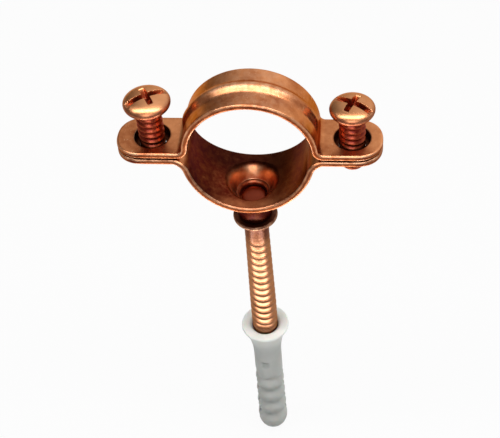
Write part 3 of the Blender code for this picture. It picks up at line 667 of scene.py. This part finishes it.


# %% Painted shade, highlights and wear of the straps
def age_strap(strap, axis_x, reach, saddle):
    """Four numbers per point: products of fades over its place and over where its normal points.

    Painted shade is the ring's inside, within reach of its radius, where the normal faces the axis; it is
    stronger towards the back and the left, and weaker on the right and at the front, where a painted sheen
    lies. Painted shade lies too in the holes, on the faces where the ears meet, in the seat and round the
    boss, and the cut edges are duller. Darkest, towards black, is the painted shade round the boss, in the
    holes, between the ears and in the ring's far corner, and the cut edges are a little darker. Worn bright
    are the rounded edges; the funnel's lips and its drawn wall carry painted highlights, and the crown of the
    ring a highlight that is partly polish and partly painted. The seat, and the ring's inside a little, are
    redder in their painted shade. saddle is how much the strap widens at its middle.
    """
    p, n = points_of(strap)
    x, y, z = p.T
    side, rise, down = x - axis_x, z - (SPLIT + RING_RISE), floor_height - z
    radius, centre = np.hypot(side, rise), np.hypot(x, y)
    inward = -(n[:, 0] * side + n[:, 2] * rise) / radius
    outward = (n[:, 0] * x + n[:, 1] * y) / np.maximum(centre, 0.1)
    hole = np.hypot(np.abs(x - CAP_SHIFT) - HOLE_OFFSET, y)

    # Painted shade: the ring's inside in a deep red brown.
    inside = fade(inward, 0.3, 0.4) * (1 - fade(radius, RING_RADIUS + 0.12, reach))
    # Painted shade in the ear holes.
    in_hole = 0.8 * (1 - fade(hole, 3.25, 0.3))
    # Painted shade on the faces where the ears meet.
    meeting = 0.9 * fade(radius, 12.6, 0.6) * (1 - fade(np.abs(z - SPLIT), 0.2, 0.25))
    # Painted shade round the boss, under the ring.
    boss = fade(down, 0.6, 0.3) * fade(outward, -0.4, 0.3) * (centre < 6.6)
    # Painted shade, darker towards the back and the left of the ring's inside.
    rear = 0.8 * inside * np.maximum(fade(y, -5.5, 10.0), 0.7 * fade(-x, 1.0, 7.0))
    # Painted shade in the funnel's seat.
    seat = 0.7 * (1 - fade(centre, 3.3, 0.5)) * (down > 0.2)

    leaning = np.where(radius > 14.5, np.hypot(n[:, 0], n[:, 1]), np.abs(n[:, 1]))
    half_width = HALF_WIDTH + saddle * np.maximum(-rise / radius, 0.0)
    at_edge = fade(np.abs(y), half_width - 0.75, 0.25) + (np.abs(x) > 19.5)
    edges = 0.6 * fade(leaning, 0.25, 0.3) * (1 - fade(leaning, 0.9, 0.1)) * at_edge
    cut_edge = 0.85 * fade(leaning, 0.9, 0.08) * at_edge
    # Painted highlights: light arcs on the lips of the funnel's ledge and seat.
    lips = np.exp(-(((centre - LEDGE) / 0.04) ** 2)) + np.exp(-(((centre - SEAT - 0.04) / 0.04) ** 2))
    lips = 0.8 * lips * (down > 2.0) * (down < 4.2)
    # Painted highlight: a glow on the funnel's drawn wall.
    drawn = fade(radius, RING_RADIUS + 0.25, 0.5) * (centre < 5.6) * (centre > 3.25) * (outward < 0.1)
    drawn = 0.4 * drawn * (saddle > 0) * (down < 2.5)
    # The ring's crown: partly polished by wear and partly a painted highlight.
    crown = fade(rise, 9.0, 3.0) * (0.35 + 0.5 * fade(radius, 12.75, 0.3)) * (1 - fade(inward, -0.5, 0.3))

    # The darkest painted shade, and the cut edges a little darker.
    sooty = np.maximum.reduce([boss, in_hole, 0.6 * meeting, rear, 0.25 * cut_edge])
    # Painted sheen: the ring's inside less shaded at its front, and a little less on the right.
    worn_front = fade(-y, 4.4, 1.8) * (1 - fade(np.abs(x), 3.5, 4.0)) * (saddle > 0)
    inside = inside * (1 - 0.22 * fade(x, -2.0, 8.0)) * (1 - 0.5 * worn_front)
    # Painted shade in all these places, and duller cut edges.
    dull = np.maximum.reduce([inside, in_hole, meeting, 0.9 * boss, seat, cut_edge])
    # Worn rounded edges, with the painted highlights on the lips, the drawn wall and the crown.
    rubbed = np.maximum.reduce([edges + lips, drawn, crown])
    # The red share is painted shade: the seat and the ring's inside.
    keep(strap, dull=dull, rubbed=rubbed, sooty=sooty, ruddy=np.maximum(0.2 * inside, 0.6 * seat))


age_strap(upper, CAP_SHIFT, 1.9, 0.0)
age_strap(lower, 0.0, 0.7, SADDLE)

# %% Painted shade and wear of the screws
p, _ = points_of(screw)
# Painted shade: the rivet and spigot deep in the funnel, darker and red.
spigot = fade(p[:, 2], FLANGE_TOP + 0.2, 0.6)
# Painted shade on the flange and the neck below the boss, fading out down the thread.
flange_age = 0.9 * fade(p[:, 2], FLANGE_FOOT - 8.5, 6.0) * (p[:, 2] < FLANGE_TOP + 0.3)
rim_wear = 0.4 * fade(np.hypot(p[:, 0], p[:, 1]), FLANGE - 0.4, 0.4)
dull = np.maximum(0.35 * spigot, flange_age)
keep(screw, dull=dull, rubbed=rim_wear, sooty=0.4 * flange_age, ruddy=0.9 * spigot)


def age_ear_screw(made, x, head_radius, rise):
    """Fades by how far a point is sunk below the dome z = h (SKIRT + (1 - SKIRT) (1 - (r/R)^2.17)^0.575).

    The recess carries painted shade, red where it is deep, and is worn bright where it is barely sunk. The
    skirt carries painted shade below the head's highlight. The thread is darker, with painted shade in its
    grooves and under the head, and is redder from below the ears up to the head.
    """
    p, _ = points_of(made)
    z, r = p[:, 2], np.hypot(p[:, 0] - x, p[:, 1])
    height, under = HEAD_HEIGHT * head_radius, SPLIT + rise
    on_shank = z < under - 0.02
    inner = np.clip(1 - (r / head_radius) ** 2.17, 0.0, 1.0)
    sunk = under + height * (SKIRT + (1 - SKIRT) * inner**0.575) - z
    # Painted shade in the slot and the cross recess.
    pressed = 0.65 * fade(sunk, 0.1, 0.7) * (r < 0.97 * head_radius)
    # Painted shade on the skirt, below the head's highlight.
    pressed = np.maximum(pressed, 0.9 * fade(-z, -under - 0.72 * height, 0.8))
    rim_wear = 0.5 * fade(sunk, -0.02, 0.06) * (1 - fade(sunk, 0.05, 0.1))
    # Painted red shade deep in the recess.
    deep = 0.5 * fade(sunk, 0.1, 0.7) * (r < 0.8 * head_radius)
    keep(
        made,
        # On the thread: a darker tone, painted shade in its grooves and under the head, and a red tone that
        # grows towards the head.
        dull=np.where(on_shank, 0.75 + 0.25 * fade(-r, -2.4, 0.25), pressed),
        rubbed=np.where(on_shank, 0.0, rim_wear),
        sooty=np.where(on_shank, 0.4 * fade(z, under - 3.0, 3.0), 0.0),
        ruddy=np.where(on_shank, 0.3 + 0.4 * fade(z, SPLIT - 1.0, 4.0), deep),
    )


age_ear_screw(left_screw, *LEFT_EAR)
age_ear_screw(right_screw, *RIGHT_EAR)

# %% [markdown]
# The copper itself is a metal whose colour runs between two tones on a cloudy noise. A picture wrapped
# round the part could show the same, but a noise has no seams and can be read at any size. Where the
# surface is dull or in painted shade the colour is multiplied by a deep red brown and the gloss is lower.
# Where the painted shade is dark the colour is pulled towards a cool black, and where it is red, towards
# red. Where the surface is worn or carries a painted highlight, a broken noise lets a lighter copper
# through. Fine nicks and a low bump give it the tumbled look. The number of nicks and the gloss differ
# between the pressed straps and the turned screws.


# %% Small node helpers
def add_node(made, kind, **values):
    """A node of the given kind whose named inputs hold the given values."""
    node = made.node_tree.nodes.new(kind)
    for name, value in values.items():
        node.inputs[name.replace("_", " ")].default_value = value
    return node


def spread(made, source, low, high, start, end):
    """The source's value carried from the range low to high to the range start to end, and clipped."""
    node = add_node(made, "ShaderNodeMapRange", From_Min=low, From_Max=high, To_Min=start, To_Max=end)
    made.node_tree.links.new(source, node.inputs["Value"])
    return node.outputs["Result"]


def arithmetic(made, operation, first, second):
    """Two sockets, or a socket and a number, joined by a Math node."""
    node = made.node_tree.nodes.new("ShaderNodeMath")
    node.operation = operation
    made.node_tree.links.new(first, node.inputs[0])
    if isinstance(second, float):
        node.inputs[1].default_value = second
    else:
        made.node_tree.links.new(second, node.inputs[1])
    return node.outputs["Value"]


def blend(made, share, below, above, how="MIX"):
    """The colour below, a socket or three numbers, with the colour above mixed over it by the share."""
    node = made.node_tree.nodes.new("ShaderNodeMix")
    node.data_type = "RGBA"
    node.blend_type = how
    made.node_tree.links.new(share, node.inputs["Factor"])
    if isinstance(below, tuple):
        node.inputs["A"].default_value = (*below, 1)
    else:
        made.node_tree.links.new(below, node.inputs["A"])
    node.inputs["B"].default_value = (*above, 1)
    return node.outputs["Result"]


def attribute(made, name):
    """The number that keep() stored under that name, as a socket."""
    node = made.node_tree.nodes.new("ShaderNodeAttribute")
    node.attribute_name = name
    return node.outputs["Fac"]


def noise(made, place, **values):
    """A cloudy noise between 0 and 1, read at the given place."""
    node = add_node(made, "ShaderNodeTexNoise", **values)
    made.node_tree.links.new(place, node.inputs["Vector"])
    return node.outputs["Fac"]


def new_material(name):
    """A new material, its main shader, and the place of a point on its object."""
    made = bpy.data.materials.new(name)
    made.use_nodes = True
    place = made.node_tree.nodes.new("ShaderNodeTexCoord").outputs["Object"]
    return made, made.node_tree.nodes["Principled BSDF"], place


def finish_surface(made, shader, colour, rough, height, strength, distance):
    """Ties the colour, the roughness and a bump of a height, strength and distance to the shader."""
    links = made.node_tree.links
    links.new(colour, shader.inputs["Base Color"])
    links.new(rough, shader.inputs["Roughness"])
    bump = add_node(made, "ShaderNodeBump", Strength=strength, Distance=distance)
    links.new(height, bump.inputs["Height"])
    links.new(bump.outputs["Normal"], shader.inputs["Normal"])


# %% Copper plate
def copper(name, dark, light, roughness, nicks, coat):
    """Metal in two cloudy tones with nicks, multiplied by the colours of dullness and painted shade, of dark
    shade and of red shade, then mixed with a lighter copper where it is worn or carries a painted highlight.
    Its roughness is the tone's, plus 0.14 times the greater of the dullness-and-shade and the wear share."""
    made, shader, place = new_material(name)
    nodes, links = made.node_tree.nodes, made.node_tree.links
    shader.inputs["Metallic"].default_value = 1.0
    shader.inputs["Specular Tint"].default_value = (0.75, 0.45, 0.28, 1)
    shader.inputs["Coat Weight"].default_value = coat
    shader.inputs["Coat Roughness"].default_value = 0.25

    cloud = noise(made, place, Scale=170.0, Detail=6.0, Roughness=0.62)
    tone = nodes.new("ShaderNodeValToRGB")
    for element, position, shade in zip(tone.color_ramp.elements, (0.32, 0.68), (dark, light)):
        element.position = position
        element.color = (*shade, 1)
    links.new(cloud, tone.inputs["Fac"])
    stretch = add_node(made, "ShaderNodeMapping", Rotation=(0.5, 0.3, 0.6), Scale=(3.0, 1.0, 0.35))
    links.new(place, stretch.inputs["Vector"])
    marks = noise(made, stretch.outputs["Vector"], Scale=1500.0, Detail=3.0)
    nicked = spread(made, marks, 0.62, 0.75, 0.0, nicks)
    colour = blend(made, nicked, tone.outputs["Color"], (0.86, 0.47, 0.25))

    # Dullness and painted shade: multiplied by a deep red brown, broken by a mottle.
    mottle = noise(made, place, Scale=850.0, Detail=8.0, Roughness=0.75)
    dull = arithmetic(made, "MULTIPLY", attribute(made, "dull"), spread(made, mottle, 0.35, 0.68, 1.1, 0.68))
    colour = blend(made, dull, colour, (0.23, 0.062, 0.042), "MULTIPLY")
    # Painted dark shade, pulled towards a cool black.
    colour = blend(made, attribute(made, "sooty"), colour, (0.12, 0.12, 0.15), "MULTIPLY")
    # Painted red shade, and the red tone of the ear screws' thread.
    colour = blend(made, attribute(made, "ruddy"), colour, (1.0, 0.30, 0.16), "MULTIPLY")
    grain = noise(made, place, Scale=900.0, Detail=4.0)
    # Wear and painted highlights: a lighter copper let through by a broken noise.
    rubbed = attribute(made, "rubbed")
    worn = arithmetic(made, "MULTIPLY", rubbed, spread(made, grain, 0.38, 0.62, 0.2, 0.85))
    colour = blend(made, worn, colour, (0.82, 0.47, 0.28))

    satin = spread(made, cloud, 0.0, 1.0, roughness - 0.06, roughness + 0.08)
    matt = arithmetic(made, "MULTIPLY", arithmetic(made, "MAXIMUM", dull, rubbed), 0.14)
    finish_surface(made, shader, colour, arithmetic(made, "ADD", satin, matt), grain, 0.25, 0.00004)
    return made


strap_copper = copper("strap_copper", (0.32, 0.076, 0.022), (0.80, 0.32, 0.13), 0.28, 0.6, 0.06)
# The screws get two copies of the copper: a darker one on the mounting screw paints the shade on its sides
# and neck, and a lighter one on the ear screws paints the light on their heads.
rod_copper = copper("rod_copper", (0.26, 0.105, 0.048), (0.40, 0.185, 0.095), 0.31, 0.15, 0.2)
head_copper = copper("head_copper", (0.54, 0.20, 0.07), (0.76, 0.33, 0.14), 0.25, 0.2, 0.25)
print("metals:", [made.name for made in (strap_copper, rod_copper, head_copper)])

# %% [markdown]
# The plug is a dull, slightly waxy nylon. A little light spreads below its surface, and its moulded skin is
# faintly uneven. Its flared top is painted paler, as painted light falling from above, and the lower side
# of each barb and the dent carry painted shade; these too are numbers kept on the points.

# %% Painted light and shade of the plug
p, _ = points_of(plug)
below, angle = -p[:, 2], np.arctan2(p[:, 1], p[:, 0])
# Painted shade: a dark band on the down-facing side after each barb's crest, and a dark spot in the dent.
lee = np.mod(barb_turns(angle, below) - 0.34 + 0.5, 1.0) - 0.5
grime = np.exp(-((lee / 0.20) ** 2)) * (below > 17.5) * (below < 33.4)
grime = np.maximum(0.65 * grime, dent_share(angle, below))
# Painted light: the plug paler towards its rim, from 7.5 mm below it.
keep(plug, thin=fade(-below, -7.5, 6.5), grime=grime)


# %% Grey nylon
def moulded_nylon(name, solid, thin):
    """A matt plastic whose colour runs from the body's to a paler painted light at the top, darkened by
    painted shade on the barbs and in the dent, and by a cloudy noise.
    """
    made, shader, place = new_material(name)
    shader.inputs["Specular IOR Level"].default_value = 0.3
    shader.inputs["Subsurface Weight"].default_value = 0.15
    shader.inputs["Subsurface Scale"].default_value = 0.001
    cloud = noise(made, place, Scale=220.0, Detail=4.0)

    def cloudy(start, end):
        """The noise carried to the range start to end."""
        return spread(made, cloud, 0.3, 0.7, start, end)

    # Painted light: lighter towards the top.
    colour = blend(made, attribute(made, "thin"), solid, thin)
    # Painted shade on the barbs and in the dent.
    grimy = arithmetic(made, "MULTIPLY", attribute(made, "grime"), cloudy(1.0, 0.6))
    colour = blend(made, grimy, colour, (0.62, 0.64, 0.62), "MULTIPLY")
    colour = blend(made, cloudy(0.45, 0.0), colour, (0.72, 0.72, 0.70), "MULTIPLY")
    finish_surface(made, shader, colour, cloudy(0.48, 0.62), cloud, 0.2, 0.0001)
    return made


# The second colour is the painted light on the plug's top.
plug_nylon = moulded_nylon("plug_nylon", (0.52, 0.535, 0.505), (0.90, 0.92, 0.87))
print("plastic:", plug_nylon.name)

# %% [markdown]
# ## Tie the surfaces to the model
#
# Each surface stands for one part of the imported model and is parented to an empty named for that part's
# body, so it moves with that body. The imported parts that are replaced stay hidden and keep their places.

# %% Ride, replace and finish each piece
dressing = (
    (upper, "upper_strap", "cap", "copper_strap", strap_copper),
    (lower, "lower_strap", "saddle", "copper_strap", strap_copper),
    (screw, "mounting_screw", "saddle", "copper_screw", rod_copper),
    (left_screw, "left_ear_screw", "left_screw", "copper_screw", head_copper),
    (right_screw, "right_ear_screw", "right_screw", "copper_screw", head_copper),
    (plug, "wall_plug", "plug", "grey_nylon", plug_nylon),
)
for piece, node, body, slot, finish in dressing:
    piece.data.materials.clear()
    piece.data.materials.append(finish)
    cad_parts[node].data.materials.clear()
    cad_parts[node].data.materials.append(finish)
    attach(piece, body)
    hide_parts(node)
print("pieces:", [piece.name for piece, *_ in dressing])

# %% [markdown]
# ## Floor and light
#
# The clamp is held over a white floor. A long soft lamp hangs overhead. Metal shows little but its
# surroundings, so a panel in front and a narrow board near the floor are there only to be reflected, as in
# a photographer's light tent, and the room is brighter behind on the right. The floor is white to the
# camera and keeps a faint shadow.


# %% Lay the floor
def pale_ground(name, white_share):
    """Matt white, mixed with a plain white where the camera, a reflection or a transmission sees it."""
    made = bpy.data.materials.new(name)
    made.use_nodes = True
    nodes, links = made.node_tree.nodes, made.node_tree.links
    matt = nodes["Principled BSDF"]
    matt.inputs["Base Color"].default_value = (0.60, 0.60, 0.60, 1)
    matt.inputs["Roughness"].default_value = 0.9
    white = nodes.new("ShaderNodeEmission")
    white.inputs["Strength"].default_value = 1.0
    rays = nodes.new("ShaderNodeLightPath").outputs
    seen = arithmetic(made, "MAXIMUM", rays["Is Camera Ray"], rays["Is Glossy Ray"])
    seen = arithmetic(made, "MAXIMUM", seen, rays["Is Transmission Ray"])
    mix = nodes.new("ShaderNodeMixShader")
    links.new(arithmetic(made, "MULTIPLY", seen, white_share), mix.inputs["Fac"])
    links.new(matt.outputs["BSDF"], mix.inputs[1])
    links.new(white.outputs["Emission"], mix.inputs[2])
    links.new(mix.outputs["Shader"], nodes["Material Output"].inputs["Surface"])
    return made


edge = 8.0
lowest = cad_box[0][2] - 0.0002
corners = [(-edge, -edge, lowest), (edge, -edge, lowest), (edge, edge, lowest), (-edge, edge, lowest)]
floor_mesh = bpy.data.meshes.new("floor")
floor_mesh.from_pydata(corners, [], [(0, 1, 2, 3)])
floor_mesh.materials.append(pale_ground("pale_floor", 0.94))
ground = bpy.data.objects.new("floor", floor_mesh)
bpy.context.scene.collection.objects.link(ground)
print("floor at", round(1000 * lowest, 2), "mm")


# %% Light the room
def studio_world(low, high, toward, wide, narrow):
    """A plain white world that is brighter on one side. toward is that direction, and between the angles
    wide and narrow from it, in degrees, the strength goes smoothly from low to high."""
    world = bpy.data.worlds.new("studio")
    world.use_nodes = True
    nodes, links = world.node_tree.nodes, world.node_tree.links
    nodes["Background"].inputs["Color"].default_value = (1, 1, 1, 1)
    look = nodes.new("ShaderNodeTexCoord")
    unit = nodes.new("ShaderNodeVectorMath")
    unit.operation = "NORMALIZE"
    links.new(look.outputs["Generated"], unit.inputs[0])
    along = nodes.new("ShaderNodeVectorMath")
    along.operation = "DOT_PRODUCT"
    along.inputs[1].default_value = Vector(toward).normalized()
    links.new(unit.outputs["Vector"], along.inputs[0])
    level = nodes.new("ShaderNodeMapRange")
    level.interpolation_type = "SMOOTHSTEP"
    level.inputs["From Min"].default_value = math.cos(math.radians(wide))
    level.inputs["From Max"].default_value = math.cos(math.radians(narrow))
    level.inputs["To Min"].default_value = low
    level.inputs["To Max"].default_value = high
    links.new(along.outputs["Value"], level.inputs["Value"])
    links.new(level.outputs["Result"], nodes["Background"].inputs["Strength"])
    bpy.context.scene.world = world


studio_world(0.20, 0.92, (0.64, 0.60, 0.48), 84, 18)
print("world:", bpy.context.scene.world.name)


# %% Set the lamps
def soft_lamp(name, place, aim, width, height, watts):
    """A rectangular lamp at a place in metres, turned to its aim and hidden from the camera."""
    data = bpy.data.lights.new(name, "AREA")
    data.shape = "RECTANGLE"
    data.size, data.size_y = width, height
    data.energy = watts
    lamp = bpy.data.objects.new(name, data)
    lamp.location = place
    lamp.rotation_euler = (Vector(aim) - Vector(place)).to_track_quat("-Z", "Y").to_euler()
    lamp.visible_camera = False
    bpy.context.scene.collection.objects.link(lamp)
    return lamp


soft_lamp("long_lamp", (-0.01, -0.080, 0.42), (-0.01, -0.01, 0.04), 0.75, 0.10, 1.8)
front = soft_lamp("front_panel", (0.02, -0.275, 0.25), (0, 0, 0.04), 0.24, 0.15, 0.54)
front.visible_diffuse = False
board = soft_lamp("front_board", (0.004, -0.040, -0.0375), (0.004, -0.036, 0.2), 0.12, 0.022, 0.112)
board.visible_diffuse = False
print("lamps: long_lamp, front_panel, front_board")

# %% Set the view transform
bpy.context.scene.view_settings.view_transform = "Standard"
bpy.context.view_layer.update()
